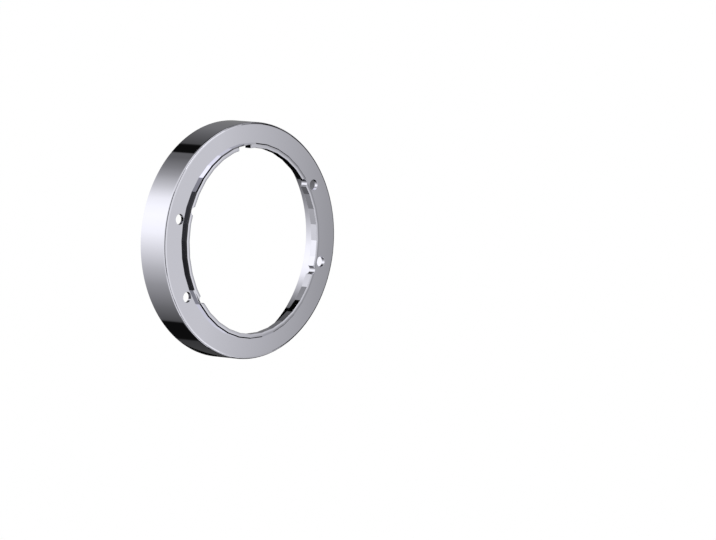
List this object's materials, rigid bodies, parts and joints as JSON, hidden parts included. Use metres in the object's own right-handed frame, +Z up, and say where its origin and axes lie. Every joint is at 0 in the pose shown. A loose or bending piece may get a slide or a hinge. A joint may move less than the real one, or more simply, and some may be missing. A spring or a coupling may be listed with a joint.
{
  "type": "pipe escutcheon ring",
  "caption": "Round chrome-plated trim ring that covers the wall gap round a valve or pipe outlet, with a flat face, a deep outer wall and a low keyed collar.",
  "frame": {"origin": "centre of the rear rim, on the plane of the wall that the ring stands against", "axes": "+Y into the wall along the ring's axis, -Y out of the face, +Z up, +X to the right seen from the front; the screw holes lie in pairs left and right"},
  "size_m": [0.15, 0.0246, 0.15],
  "materials": {
    "chrome_plate": "bright polished chrome plating over cast brass"
  },
  "bodies": {
    "root": {"escutcheon_ring": "chrome_plate"}
  },
  "joints": []
}
